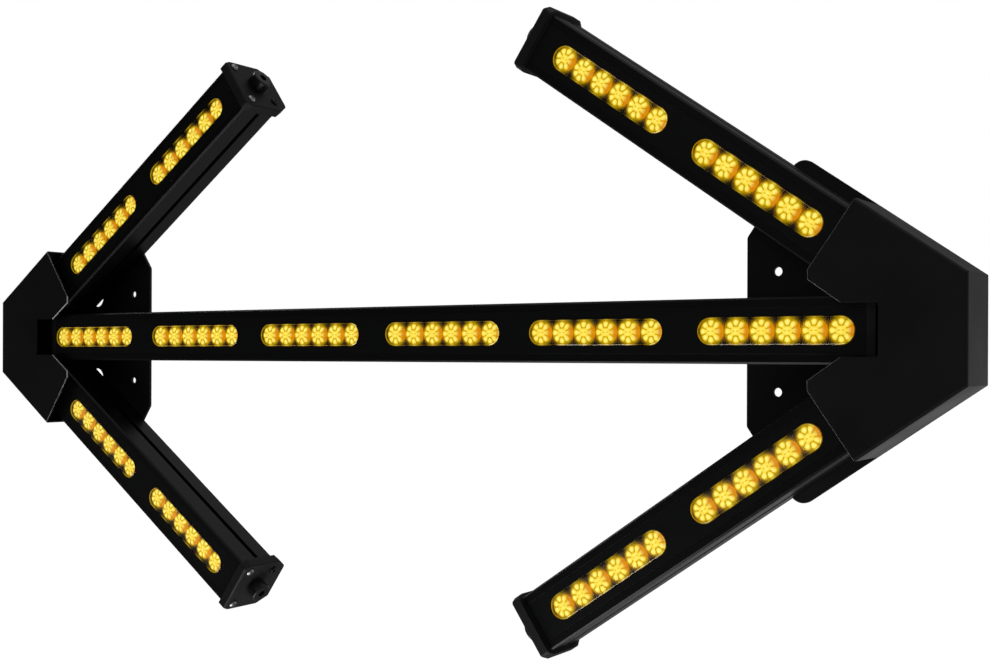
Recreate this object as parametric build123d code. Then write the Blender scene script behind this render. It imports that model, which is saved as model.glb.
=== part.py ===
from build123d import *
from math import cos, radians, sin
import os

# Double-headed LED arrow board light head.
# Millimetres, +Z up, arrow along X, lamps facing -Y.
# The origin is the centre of the mounting-hole rectangle on the rear faces of the back plates.

# ---- driving dimensions ----
OPTIC_PITCH = 20.0            # spacing of the six LEDs in a module
OPTICS_PER_MODULE = 6
WINDOW_HEIGHT = 21.0
WINDOW_LENGTH = OPTIC_PITCH * (OPTICS_PER_MODULE - 1) + WINDOW_HEIGHT
MODULE_PITCH = 150.0

ARM_ANGLE = 35.0              # between an arm and the centre bar
ARM_X = 360.7                 # centre of an arm's inner module
ARM_Z = 105.8
ARM_INNER_END = -94.4         # along the arm, from its inner module's centre
ARM_OUTER_END = 239.0
CENTRE_ENDS = {"left": 443.0, "right": 450.0}      # centre bar, each way from the middle
CENTRE_MODULES = (-375.0, -225.0, -75.0, 75.0, 225.0, 375.0)

PLATE_THICKNESS = 3.0
BAR_WIDTH = 49.0
BAR_DEPTH = 42.0
LENS_PLANE = -(PLATE_THICKNESS + BAR_DEPTH)     # y of the bars' front faces
PLATE_FRONT = -PLATE_THICKNESS

# bar extrusion, depths counted back from the lens plane
BAR_CHAMFER = 1.5
PANEL_WIDTH = 34.0
PANEL_THICKNESS = 3.0
PANEL_GAP = 0.1
CHAMBER_HALF_WIDTH = 15.0
LAMP_CHAMBER_BACK = 16.1
WIRE_CHAMBER_FRONT = 18.5
WIRE_CHAMBER_BACK = 31.0
SIDE_SLOT_DEPTH = 22.0        # how far back the side slots run
SIDE_SLOT_MOUTH = 5.0
SIDE_SLOT_LIP = 2.0
SIDE_SLOT_WIDTH = 8.4
SIDE_SLOT_BOTTOM = 5.2
REAR_SLOT_MOUTH = 5.4
REAR_SLOT_LIP = 2.5
REAR_SLOT_WIDTH = 9.6
REAR_SLOT_BOTTOM = 7.5
PORT_RADIUS = 1.7
FRONT_PORT = (20.0, 5.0)      # screw ports: half spacing across, depth
REAR_PORT = (17.0, 38.0)

# end caps; the free ends' flanges stand in front of the bars and behind them
FLANGE = 9.0
FLANGE_OUTLINE = [(-4.0, 25.0), (3.0, 28.0), (41.0, 28.0), (54.0, 19.5)]   # depth, half width
FLANGE_CORNER = 2.5
FLANGE_EDGE = 1.2
INNER_CAP = 5.0
GASKET = 1.2
FILLER_LENGTH = 4.0
PLUG_RADIUS = 8.0
PLUG_HEAD_RADIUS = 9.8
PLUG_HEAD = 11.0
PLUG_SEAL = 1.5
PLUG_DEPTH = 22.4
PLUG_SOCKET = 3.5             # half the width across the flats of its hex socket
CAP_SCREW = (3.8, 2.2, 1.25, 11.0)       # head radius, head height, half socket, grip in the bar
GLAND_RADIUS = 4.0
GLAND_NUT = (6.0, 4.0)                    # half width across flats, thickness
GLAND_DOME = (5.2, 4.0)                   # radius, height
GLAND_DEPTH = (WIRE_CHAMBER_FRONT + WIRE_CHAMBER_BACK) / 2
GLAND_REACH = GLAND_NUT[1] + GLAND_DOME[1]
LEAD_RADIUS = 2.5

# heads
TIP_X = 515.0
OUTER_EDGE = 33.4             # distance of the outer walls from an arm's centre line
COVER_SHEET = 1.5
COVER_BEND = 2.5              # outer radius of the folds
COVER_FACE = LENS_PLANE - 11.0
COVER_INNER_EDGE = -72.0      # along the arm
NOTCH_X = 455.0
NOTCH_HALF_HEIGHT = 19.0
COVER_CORNER_X = 404.6
COVER_STEP = 7.0                # short upright edge between the cover's two sloping inner edges
PLATE_INNER_X = 337.0
PLATE_ARM_EDGE = 0.6          # along the arm
EAR_RADIUS = 11.0
PLATE_CORNER = 4.0
MOUNT_X = 362.0
MOUNT_Z = 46.0
MOUNT_HOLE_RADIUS = 3.4
WIRE_HOLE = (421.0, 43.6, 10.0)          # x, z, radius
DRAIN_SLOT = (460.0, 34.7, 12.0, 3.0)    # x, z, length, height
TAB = (20.0, 16.0)
TAB_STATIONS = (-110.0, -145.0)
FIXING_STATIONS = (-68.0, -22.0)
CENTRE_FIXINGS = (352.0, 400.0)
DRIVER_X = (462.0, 496.0)
DRIVER_HALF_HEIGHT = 26.0
DRIVER_DEPTH = 22.0
DRIVER_CORNER = 2.0

C = cos(radians(ARM_ANGLE))
S = sin(radians(ARM_ANGLE))
HEADS = {"left": -1, "right": 1}


# ---- helpers ----
def on_arm(side, level, along, across):
    """x and z of a point on an arm; across is positive towards the outside of the arrow."""
    return (side * (ARM_X - along * C + across * S), level * (ARM_Z + along * S + across * C))


def arm_frame(side, level):
    """Frame at an arm's inner module: X along the arm, Y to the rear, on the lens plane."""
    x, z = on_arm(side, level, 0, 0)
    turn = -level * ARM_ANGLE if side < 0 else 180 + level * ARM_ANGLE
    return Pos(x, LENS_PLANE, z) * Rot(0, turn, 0)


def across_bar(sketch, start, length):
    """Extrude a (depth, across) sketch along a bar."""
    return Pos(start, 0, 0) * extrude(Plane.YZ * sketch, amount=length)


def through_depth(sketch, front, back):
    """Extrude an (x, z) sketch from one depth to another."""
    return Pos(0, back, 0) * extrude(Plane.XZ * sketch, amount=back - front)


def stadium(length, height):
    return SlotOverall(length, height)


def rod(radius, start, length):
    """Round bar along +X."""
    return Pos(start, 0, 0) * extrude(Plane.YZ * Circle(radius), amount=length)


def rear_rod(radius, front, back):
    """Round bar along Y between two y values."""
    return through_depth(Circle(radius), front, back)


def mirrored_outline(points, side):
    """Close an upper half outline, running from inner to tip, with its mirror image below."""
    upper = [(side * x, z) for x, z in points]
    lower = [(x, -z) for x, z in reversed(upper)]
    return make_face(Polyline(*upper, *lower, close=True))


def save(name, shapes):
    solids = [solid for shape in shapes for solid in shape.solids()]
    group = solids[0] if len(solids) == 1 else Compound(children=solids)
    group.label = name
    export_step(group, f"parts/{name}.step")


# ---- bar extrusion ----
def bar_outline():
    block = Pos(BAR_DEPTH / 2, 0) * Rectangle(BAR_DEPTH, BAR_WIDTH)
    return chamfer(block.vertices(), BAR_CHAMFER)


def screw_ports():
    return [(depth, sign * across) for across, depth in (FRONT_PORT, REAR_PORT) for sign in (-1, 1)]


def cavity(front, back, half_width):
    return Pos((front + back) / 2, 0) * Rectangle(back - front, 2 * half_width)


def side_slot(sign):
    wall = BAR_WIDTH / 2
    inner = SIDE_SLOT_BOTTOM - SIDE_SLOT_LIP
    middle = wall - SIDE_SLOT_LIP - inner / 2
    mouth = Rectangle(SIDE_SLOT_MOUTH, SIDE_SLOT_LIP)
    chamber = Rectangle(SIDE_SLOT_WIDTH, inner)
    slot = Pos(SIDE_SLOT_DEPTH, sign * (wall - SIDE_SLOT_LIP / 2)) * mouth
    return slot + Pos(SIDE_SLOT_DEPTH, sign * middle) * chamber


def rear_slot():
    lip = cavity(BAR_DEPTH - REAR_SLOT_LIP, BAR_DEPTH, REAR_SLOT_MOUTH / 2)
    return lip + cavity(BAR_DEPTH - REAR_SLOT_BOTTOM, BAR_DEPTH - REAR_SLOT_LIP, REAR_SLOT_WIDTH / 2)


def bar_section():
    section = bar_outline() - cavity(0, PANEL_THICKNESS, PANEL_WIDTH / 2 + PANEL_GAP)
    section -= cavity(PANEL_THICKNESS, LAMP_CHAMBER_BACK, CHAMBER_HALF_WIDTH)
    section -= cavity(WIRE_CHAMBER_FRONT, WIRE_CHAMBER_BACK, CHAMBER_HALF_WIDTH)
    section -= [side_slot(-1), side_slot(1), rear_slot()]
    section -= [Pos(depth, across) * Circle(PORT_RADIUS) for depth, across in screw_ports()]
    return section


def housing(start, end):
    return across_bar(bar_section(), start, end - start)


def face_panel(start, end, modules):
    panel = across_bar(cavity(0, PANEL_THICKNESS, PANEL_WIDTH / 2), start, end - start)
    opening = stadium(WINDOW_LENGTH, WINDOW_HEIGHT)
    for station in modules:
        panel -= Pos(station, 0, 0) * through_depth(opening, -1, PANEL_THICKNESS + 1)
    return panel


# ---- light module: lens, optics, board, emitters ----
LENS_PROUD = 0.6
LENS_GAP = 0.3
LENS_WALL = 1.0
LENS_FRONT_WALL = 2.0
LENS_FLANGE = (123.0, 25.0, 1.5)
OPTIC_RADIUS = 8.8
OPTIC_FRONT = 2.0
CARRIER_THICKNESS = 1.5
OPTIC_REAR = 12.9
OPTIC_REAR_RADIUS = 3.6
BOARD = (122.0, 28.0, 1.6)
EMITTER_BASE = (3.6, 0.9)
EMITTER_DOME = 1.4
EMITTER_ROOM = 0.8
OPTIC_GAP = 0.3


def window_lens():
    length, height = WINDOW_LENGTH - 2 * LENS_GAP, WINDOW_HEIGHT - 2 * LENS_GAP
    flange_back = PANEL_THICKNESS + LENS_FLANGE[2]
    body = through_depth(stadium(length, height), -LENS_PROUD, flange_back)
    body = chamfer(body.faces().sort_by(Axis.Y)[0].edges(), LENS_PROUD)
    body += through_depth(Rectangle(*LENS_FLANGE[:2]), PANEL_THICKNESS, flange_back)
    hollow = stadium(length - 2 * LENS_WALL, height - 2 * LENS_WALL)
    return body - through_depth(hollow, LENS_FRONT_WALL - LENS_PROUD, flange_back)


def optic_stations():
    middle = (OPTICS_PER_MODULE - 1) / 2
    return [OPTIC_PITCH * (i - middle) for i in range(OPTICS_PER_MODULE)]


def optic_strip():
    carrier_front = PANEL_THICKNESS + LENS_FLANGE[2]
    carrier_back = carrier_front + CARRIER_THICKNESS
    strip = through_depth(Rectangle(*LENS_FLANGE[:2]), carrier_front, carrier_back)
    for station in optic_stations():
        front = through_depth(Circle(OPTIC_RADIUS), OPTIC_FRONT, carrier_front)
        length = OPTIC_REAR - carrier_back
        cone = Cone(OPTIC_RADIUS, OPTIC_REAR_RADIUS, length)
        cone = Pos(0, carrier_back + length / 2, 0) * Rot(-90, 0, 0) * cone
        strip += Pos(station, 0, 0) * (front + cone)
        strip -= Pos(station, OPTIC_REAR + OPTIC_GAP, 0) * Sphere(EMITTER_DOME + EMITTER_ROOM)
    return strip


def led_board():
    return through_depth(Rectangle(*BOARD[:2]), LAMP_CHAMBER_BACK - BOARD[2], LAMP_CHAMBER_BACK)


def emitters():
    width, height = EMITTER_BASE
    board_front = LAMP_CHAMBER_BACK - BOARD[2]
    base = through_depth(Rectangle(width, width), board_front - height, board_front)
    dome = Pos(0, board_front - height, 0) * Sphere(EMITTER_DOME)
    dome -= Pos(0, board_front, 0) * Box(2 * width, 2 * height, 2 * width)
    return [Pos(station, 0, 0) * (base + dome) for station in optic_stations()]


# ---- end caps, screws, plugs, glands ----
CAP_HOLE_RADIUS = PORT_RADIUS + 0.4
CAP_SCREW_CROWN = 1.2
CAP_SCREW_SOCKET = 1.3
PLUG_CROWN = 1.5
PLUG_SOCKET_FLOOR = 1.0
PLUG_SEAL_INSET = 0.8
GLAND_CROWN = 1.5
FILLER_GAP = 0.1


def flange_outline():
    other_half = [(depth, -across) for depth, across in reversed(FLANGE_OUTLINE)]
    face = make_face(Polyline(*FLANGE_OUTLINE, *other_half, close=True))
    return fillet(face.vertices(), FLANGE_CORNER)


def outer_cap():
    """Flanged cap at an arm's free end, with its inner face at x = 0."""
    cap = across_bar(flange_outline(), 0, FLANGE)
    cap = chamfer(cap.faces().sort_by(Axis.X)[-1].edges(), FLANGE_EDGE)
    cap -= Pos(0, PLUG_DEPTH, 0) * rod(PLUG_RADIUS, -1, FLANGE + 2)
    for depth, across in screw_ports():
        cap -= Pos(0, depth, across) * rod(CAP_HOLE_RADIUS, -1, FLANGE + 2)
    mouth = SIDE_SLOT_MOUTH - 2 * FILLER_GAP
    for sign in (-1, 1):
        key = Pos(SIDE_SLOT_DEPTH, sign * (BAR_WIDTH / 2 - SIDE_SLOT_LIP / 2))
        cap += across_bar(key * Rectangle(mouth, SIDE_SLOT_LIP), -FILLER_LENGTH, FILLER_LENGTH)
    return cap


def inner_cap():
    """Flat cap under a head cover, between x = 0 and INNER_CAP."""
    cap = across_bar(bar_outline(), 0, INNER_CAP)
    cap -= Pos(0, GLAND_DEPTH, 0) * rod(GLAND_RADIUS, -1, INNER_CAP + 2)
    for depth, across in screw_ports():
        cap -= Pos(0, depth, across) * rod(CAP_HOLE_RADIUS, -1, INNER_CAP + 2)
    return cap


def cap_gasket(open_radius, open_depth, notched):
    """Sealing sheet between a housing and its cap."""
    sheet = bar_outline()
    if notched:
        notch = Rectangle(SIDE_SLOT_MOUTH, 2 * SIDE_SLOT_LIP)
        sheet -= [Pos(SIDE_SLOT_DEPTH, sign * BAR_WIDTH / 2) * notch for sign in (-1, 1)]
    sheet -= Pos(open_depth, 0) * Circle(open_radius)
    sheet -= [Pos(depth, across) * Circle(CAP_HOLE_RADIUS) for depth, across in screw_ports()]
    return across_bar(sheet, 0, GASKET)


def button_screw(cap_thickness):
    """Button-head socket screw along -X; its head rests at x = 0."""
    head_radius, head_height, half_socket, grip = CAP_SCREW
    head = fillet(rod(head_radius, 0, head_height).edges().sort_by(Axis.X)[-1], CAP_SCREW_CROWN)
    hexagon = RegularPolygon(half_socket, 6, major_radius=False)
    head -= across_bar(hexagon, head_height - CAP_SCREW_SOCKET, head_height)
    return head + rod(PORT_RADIUS, -(cap_thickness + grip), cap_thickness + grip)


def blanking_plug():
    """Hex-socket plug in an outer cap; the cap's outer face is x = 0."""
    head = rod(PLUG_HEAD_RADIUS, PLUG_SEAL, PLUG_HEAD)
    head = fillet(head.edges().sort_by(Axis.X)[-1], PLUG_CROWN)
    hexagon = RegularPolygon(PLUG_SOCKET, 6, major_radius=False)
    body = rod(PLUG_RADIUS, -FLANGE + 1, FLANGE - 1 + PLUG_SEAL)
    return head + body - across_bar(hexagon, PLUG_SEAL + PLUG_SOCKET_FLOOR, PLUG_HEAD)


def plug_seal():
    ring = Circle(PLUG_HEAD_RADIUS - PLUG_SEAL_INSET) - Circle(PLUG_RADIUS)
    return across_bar(ring, 0, PLUG_SEAL)


def cable_gland():
    """Strain-relief gland on an inner cap; the cap's outer face is x = 0."""
    nut_half, nut_height = GLAND_NUT
    dome_radius, dome_height = GLAND_DOME
    nut = across_bar(RegularPolygon(nut_half, 6, major_radius=False), 0, nut_height)
    dome = fillet(rod(dome_radius, nut_height, dome_height).edges().sort_by(Axis.X)[-1], GLAND_CROWN)
    neck = rod(GLAND_RADIUS, -INNER_CAP, INNER_CAP)
    return nut + dome + neck - rod(LEAD_RADIUS, -INNER_CAP - 1, INNER_CAP + GLAND_REACH + 2)


# ---- fasteners through the back plates ----
def countersunk_screw(radius, head_radius, length):
    """Countersunk screw along -Y with its head flush with y = 0 and a hex socket."""
    drop = head_radius - radius
    head = Pos(0, -drop / 2, 0) * Rot(90, 0, 0) * Cone(head_radius, radius, drop)
    screw = head + rear_rod(radius, -length, -drop)
    socket = RegularPolygon(radius * 0.55, 6, major_radius=False)
    return screw - through_depth(socket, -drop * 0.7, 1)


def countersink(radius, head_radius):
    """Hole for a countersunk screw, cut from the rear of a plate."""
    drop = head_radius - radius
    cone = Pos(0, -drop / 2, 0) * Rot(90, 0, 0) * Cone(head_radius, radius, drop)
    return cone + rear_rod(radius, -PLATE_THICKNESS - 1, -drop / 2)


BAR_SCREW = (2.5, 5.0, 10.0)
COVER_SCREW = (2.0, 4.2, 8.0)
SLOT_NUT = (16.0, 0.2, 4.3)


def fixing_points(side):
    """Where the bars are screwed to a back plate, as frames with X along the bar."""
    arm = [arm_frame(side, level) * Pos(s, 0, 0) for level in (1, -1) for s in FIXING_STATIONS]
    return arm + [Pos(side * x, LENS_PLANE, 0) for x in CENTRE_FIXINGS]


def tab_frames(side):
    """Frames on the plate's front face at each cover tab: X along the wall, Z towards it."""
    frames = []
    for level in (1, -1):
        for station in TAB_STATIONS:
            x, z = on_arm(side, level, station, OUTER_EDGE)
            turn = side * level * ARM_ANGLE + (0 if level > 0 else 180)
            frames.append(Pos(x, PLATE_FRONT, z) * Rot(0, turn, 0))
    frames.append(Pos(side * TIP_X, PLATE_FRONT, 0) * Rot(0, side * 90, 0))
    return frames


def slot_nut():
    """Nut in a bar's rear slot, on the lens-plane frame of a fixing point."""
    back = BAR_DEPTH - REAR_SLOT_LIP
    length, gap, thickness = SLOT_NUT
    block = through_depth(Rectangle(length, REAR_SLOT_WIDTH - 2 * gap), back - thickness, back)
    return block - rear_rod(BAR_SCREW[0], back - thickness - 1, back + 1)


# ---- heads ----
def corner_of_arm_edge(x, along):
    """Point at a given x on the line that crosses an arm squarely."""
    across = (x - ARM_X + along * C) / S
    return (x, ARM_Z + along * S + across * C)


def plate_outline(side):
    ear = on_arm(1, 1, PLATE_ARM_EDGE, OUTER_EDGE)
    corner = corner_of_arm_edge(PLATE_INNER_X, PLATE_ARM_EDGE)
    face = mirrored_outline([corner, ear, (TIP_X, tip_height())], side)
    face = fillet([v for v in face.vertices() if abs(v.Y) > ear[1] - 1], EAR_RADIUS)
    return fillet([v for v in face.vertices() if abs(v.X) < PLATE_INNER_X + 0.01], PLATE_CORNER)


def back_plate(side):
    plate = through_depth(plate_outline(side), PLATE_FRONT, 0)
    slot_x, slot_z, slot_length, slot_height = DRAIN_SLOT
    wire_x, wire_z, wire_radius = WIRE_HOLE
    for level in (1, -1):
        cuts = Pos(side * MOUNT_X, level * MOUNT_Z) * Circle(MOUNT_HOLE_RADIUS)
        cuts += Pos(side * wire_x, level * wire_z) * Circle(wire_radius)
        cuts += Pos(side * slot_x, level * slot_z) * stadium(slot_length, slot_height)
        plate -= through_depth(cuts, PLATE_FRONT - 1, 1)
    for frame in fixing_points(side):
        plate -= Pos(frame.position.X, 0, frame.position.Z) * countersink(*BAR_SCREW[:2])
    for frame in tab_frames(side):
        hole = frame * Pos(0, PLATE_THICKNESS, -TAB[1] / 2 - COVER_SHEET)
        plate -= Pos(hole.position.X, 0, hole.position.Z) * countersink(*COVER_SCREW[:2])
    for x, z in driver_screw_points(side):
        plate -= Pos(x, 0, z) * rear_rod(1.5, PLATE_FRONT - 1, 1)
    return plate


def tip_height():
    """Half height of a head at its tip, where the arms' outer walls reach it."""
    x, z = on_arm(1, 1, 0, OUTER_EDGE)
    return z - (TIP_X - x) * S / C


def cover_outline(side):
    corner = corner_of_arm_edge(COVER_CORNER_X, COVER_INNER_EDGE)
    step = (COVER_CORNER_X, corner[1] - COVER_STEP)
    notch_start = (COVER_CORNER_X + (step[1] - NOTCH_HALF_HEIGHT) * C / S, NOTCH_HALF_HEIGHT)
    outer = on_arm(1, 1, COVER_INNER_EDGE, OUTER_EDGE)
    upper = [(NOTCH_X, NOTCH_HALF_HEIGHT), notch_start, step, corner, outer, (TIP_X, tip_height())]
    return mirrored_outline(upper, side)


def wall_outline(side):
    """Outline whose outer edges the walls follow, carried well past the cover's inner edge."""
    return mirrored_outline([on_arm(1, 1, 50, OUTER_EDGE), (TIP_X, tip_height())], side)


def head_cover(side):
    """Folded sheet: a face, three outer walls and a row of tabs that lie on the back plate."""
    outer = through_depth(wall_outline(side), COVER_FACE, PLATE_FRONT)
    outer = fillet(outer.faces().sort_by(Axis.Y)[0].edges(), COVER_BEND)
    hollow = through_depth(offset(wall_outline(side), -COVER_SHEET, kind=Kind.INTERSECTION),
                           COVER_FACE + COVER_SHEET, 1)
    hollow = fillet(hollow.faces().sort_by(Axis.Y)[0].edges(), COVER_BEND - COVER_SHEET)
    walls = outer - hollow
    cover = walls & through_depth(cover_outline(side), COVER_FACE, PLATE_FRONT)
    for frame in tab_frames(side):
        tab = Rectangle(*TAB) - Circle(COVER_SCREW[0] + 0.15)
        cover += frame * Pos(0, 0, -TAB[1] / 2 - COVER_SHEET) * through_depth(tab, -COVER_SHEET, 0)
    return cover


def clinch_nut():
    """Nut pressed into a cover tab, standing on the tab's front side."""
    collar = rear_rod(3.9, -COVER_SHEET - 3.0, -COVER_SHEET)
    shank = rear_rod(COVER_SCREW[0] + 0.15, -COVER_SHEET, -COVER_SHEET + 1.0)
    return collar + shank - rear_rod(COVER_SCREW[0], -6, 1)


# ---- driver module and leads inside a head ----
def driver_screw_points(side):
    middle = sum(DRIVER_X) / 2
    return [(side * middle, level * (DRIVER_HALF_HEIGHT + 4.0)) for level in (1, -1)]


def driver_module(side):
    width = DRIVER_X[1] - DRIVER_X[0]
    front = PLATE_FRONT - DRIVER_DEPTH
    centre = side * sum(DRIVER_X) / 2
    box = through_depth(Rectangle(width, 2 * DRIVER_HALF_HEIGHT), front, PLATE_FRONT)
    box = fillet(box.edges().filter_by(Axis.Y), DRIVER_CORNER)
    box = chamfer(box.faces().sort_by(Axis.Y)[0].edges(), 1.0)
    ears = through_depth(stadium(2 * DRIVER_HALF_HEIGHT + 16, 12), PLATE_FRONT - 3, PLATE_FRONT)
    module = Pos(centre, 0, 0) * (box + Rot(0, 90, 0) * ears)
    for x, z in driver_screw_points(side):
        module -= Pos(x, 0, z) * rear_rod(1.7, PLATE_FRONT - 4, PLATE_FRONT + 1)
    return module


def driver_screw():
    head = fillet(rear_rod(2.8, -5.2, -3.0).edges().sort_by(Axis.Y)[0], 0.9)
    return head + rear_rod(1.5, -3.0, PLATE_THICKNESS - 0.3)


def leads(side, centre_end):
    """Straight leads from the three bars' glands to the driver module."""
    shapes = []
    depth = LENS_PLANE + GLAND_DEPTH
    inner_face = ARM_INNER_END
    for level in (1, -1):
        x_end, z_end = on_arm(side, level, inner_face, 0)
        run = (abs(z_end) - DRIVER_HALF_HEIGHT) / S
        tube = rod(LEAD_RADIUS, 0, run + INNER_CAP + GLAND_REACH)
        tube = arm_frame(side, level) * Pos(inner_face - run, GLAND_DEPTH, 0) * tube
        box = Pos(side * sum(DRIVER_X) / 2, PLATE_FRONT - DRIVER_DEPTH / 2, 0)
        width = DRIVER_X[1] - DRIVER_X[0]
        shapes.append(tube - box * Box(width, DRIVER_DEPTH, 2 * DRIVER_HALF_HEIGHT))
    start = centre_end - INNER_CAP - GLAND_REACH
    tube = rod(LEAD_RADIUS, start, DRIVER_X[0] - start)
    shapes.append(Pos(0, depth, 0) * (tube if side > 0 else Rot(0, 180, 0) * tube))
    return shapes


# ---- bars ----
def arm_bars():
    for name, side in HEADS.items():
        for word, level in (("upper", 1), ("lower", -1)):
            yield f"{word}_{name}", arm_frame(side, level)


def save_bar(name, frame, start, end, modules):
    """Save what lies between two end caps."""
    places = [frame * Pos(station, 0, 0) for station in modules]
    save(f"{name}_housing", [frame * housing(start, end)])
    save(f"{name}_face_panel", [frame * face_panel(start, end, modules)])
    save(f"{name}_window_lenses", [place * window_lens() for place in places])
    save(f"{name}_optics", [place * optic_strip() for place in places])
    save(f"{name}_led_boards", [place * led_board() for place in places])
    save(f"{name}_leds", [place * led for place in places for led in emitters()])


def main():
    os.makedirs("parts", exist_ok=True)
    turn = Rot(0, 180, 0)
    outer_ends, inner_ends = [], []
    for name, frame in arm_bars():
        start, end = ARM_INNER_END + INNER_CAP + GASKET, ARM_OUTER_END - FLANGE - GASKET
        save_bar(name, frame, start, end, (0, MODULE_PITCH))
        outer = frame * Pos(ARM_OUTER_END - FLANGE, 0, 0)
        inner = frame * Pos(ARM_INNER_END + INNER_CAP, 0, 0) * turn
        save(f"{name}_outer_cap", [outer * outer_cap()])
        save(f"{name}_inner_cap", [inner * inner_cap()])
        outer_ends.append(outer)
        inner_ends.append(inner)

    ends = {name: reach - INNER_CAP - GASKET for name, reach in CENTRE_ENDS.items()}
    centre = Pos(0, LENS_PLANE, 0)
    save_bar("centre", centre, -ends["left"], ends["right"], CENTRE_MODULES)
    for name, side in HEADS.items():
        end = centre * Pos(side * (CENTRE_ENDS[name] - INNER_CAP), 0, 0)
        end = end if side > 0 else end * turn
        save(f"centre_{name}_cap", [end * inner_cap()])
        inner_ends.append(end)

    ports = [Pos(0, depth, across) for depth, across in screw_ports()]
    plug = Pos(FLANGE, PLUG_DEPTH, 0)
    gland = Pos(INNER_CAP, GLAND_DEPTH, 0)
    save("outer_cap_gaskets", [e * Pos(-GASKET, 0, 0) * cap_gasket(PLUG_RADIUS, PLUG_DEPTH, True)
                               for e in outer_ends])
    save("inner_cap_gaskets", [e * Pos(-GASKET, 0, 0) * cap_gasket(GLAND_RADIUS, GLAND_DEPTH, False)
                               for e in inner_ends])
    save("outer_cap_screws", [e * p * Pos(FLANGE, 0, 0) * button_screw(FLANGE)
                              for e in outer_ends for p in ports])
    save("inner_cap_screws", [e * p * Pos(INNER_CAP, 0, 0) * button_screw(INNER_CAP)
                              for e in inner_ends for p in ports])
    save("blanking_plugs", [e * plug * blanking_plug() for e in outer_ends])
    save("plug_seals", [e * plug * plug_seal() for e in outer_ends])
    save("cable_glands", [e * gland * cable_gland() for e in inner_ends])

    bar_screws, nuts, cover_screws, clinch_nuts, driver_screws = [], [], [], [], []
    for name, side in HEADS.items():
        save(f"{name}_back_plate", [back_plate(side)])
        save(f"{name}_head_cover", [head_cover(side)])
        save(f"{name}_driver_module", [driver_module(side)])
        save(f"{name}_leads", leads(side, CENTRE_ENDS[name]))
        for frame in fixing_points(side):
            bar_screws.append(frame * Pos(0, -LENS_PLANE, 0) * countersunk_screw(*BAR_SCREW))
            nuts.append(frame * slot_nut())
        for frame in tab_frames(side):
            place = frame * Pos(0, 0, -TAB[1] / 2 - COVER_SHEET)
            clinch_nuts.append(place * clinch_nut())
            cover_screws.append(place * Pos(0, PLATE_THICKNESS, 0) * countersunk_screw(*COVER_SCREW))
        for x, z in driver_screw_points(side):
            driver_screws.append(Pos(x, PLATE_FRONT, z) * driver_screw())
    save("bar_screws", bar_screws)
    save("slot_nuts", nuts)
    save("cover_screws", cover_screws)
    save("clinch_nuts", clinch_nuts)
    save("driver_screws", driver_screws)


main()
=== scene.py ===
from math import cos, exp, hypot, pi, radians, sin

import bmesh
import bpy
from bpy.props import FloatProperty, FloatVectorProperty, IntProperty
from mathutils import Matrix, Vector


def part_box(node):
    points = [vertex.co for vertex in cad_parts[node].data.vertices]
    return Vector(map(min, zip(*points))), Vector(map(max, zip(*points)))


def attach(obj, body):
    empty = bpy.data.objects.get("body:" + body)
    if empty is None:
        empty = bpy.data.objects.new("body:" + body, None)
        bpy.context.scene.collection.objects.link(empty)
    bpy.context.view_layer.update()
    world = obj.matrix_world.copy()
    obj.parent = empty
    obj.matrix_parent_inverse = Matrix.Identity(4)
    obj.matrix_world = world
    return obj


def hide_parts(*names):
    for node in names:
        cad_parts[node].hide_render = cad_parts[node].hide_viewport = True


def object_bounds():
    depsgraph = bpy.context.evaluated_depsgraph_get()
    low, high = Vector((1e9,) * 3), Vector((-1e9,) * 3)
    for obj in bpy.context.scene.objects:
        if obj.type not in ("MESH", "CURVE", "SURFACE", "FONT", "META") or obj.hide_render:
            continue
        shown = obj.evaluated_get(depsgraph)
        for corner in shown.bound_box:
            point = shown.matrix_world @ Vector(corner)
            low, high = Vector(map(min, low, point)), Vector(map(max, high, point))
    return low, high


bl_info = {
    "name": "Arrow board light head",
    "version": (1, 0, 0),
    "blender": (4, 5, 0),
    "location": "3D View > Sidebar > Arrow Board",
    "description": "Finishes and lamp details for a double-headed LED arrow board",
    "category": "Object",
}

MM = 0.001

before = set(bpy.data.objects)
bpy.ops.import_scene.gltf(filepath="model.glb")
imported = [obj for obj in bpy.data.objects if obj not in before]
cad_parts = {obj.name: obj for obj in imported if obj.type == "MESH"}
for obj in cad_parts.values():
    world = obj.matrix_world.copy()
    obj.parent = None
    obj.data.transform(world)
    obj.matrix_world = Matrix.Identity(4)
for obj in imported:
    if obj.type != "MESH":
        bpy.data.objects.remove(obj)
cad_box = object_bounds()

# ---- sizes of the CAD pieces that the finer pieces stand in for ----
OPTIC_PITCH = 20 * MM
OPTICS_PER_MODULE = 6
MODULE_PITCH = 150 * MM
WINDOW_LENGTH = 121 * MM
WINDOW_HEIGHT = 21 * MM
DECK_HEIGHT = 24.5 * MM
DECK_THICKNESS = 1.5 * MM
DECK_CELLS = (16, 18)            # faces along and across the deck round one optic
FLUTE_LENGTH = 18.2 * MM
FLUTE_WIDTH = 0.6 * MM
FLUTE_HEIGHT = 0.3 * MM
FLOOR_REACH = 30                 # metres each way
SHEET = 1.5 * MM                 # the head covers' steel
NOTCH_HALF = 19.5 * MM           # half the height of the notch in a cover round the centre bar
ARM_ANGLE = radians(35)
LENS_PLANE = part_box("centre_face_panel")[0].y
ARM_X = 360.7 * MM
ARM_Z = 105.8 * MM
ARM_OUTER_END = 239 * MM
FRONT_PORT = (20.0 * MM, 5.0 * MM)        # screws of the end caps: half spacing across, depth
REAR_PORT = (17.0 * MM, 38.0 * MM)
# end cap screw: head radius, head height, half the socket, socket depth, shank radius, length
CAP_SCREW = (3.8 * MM, 2.2 * MM, 1.25 * MM, 1.3 * MM, 1.7 * MM, 20 * MM)
CENTRE_MODULES = 6

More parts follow.
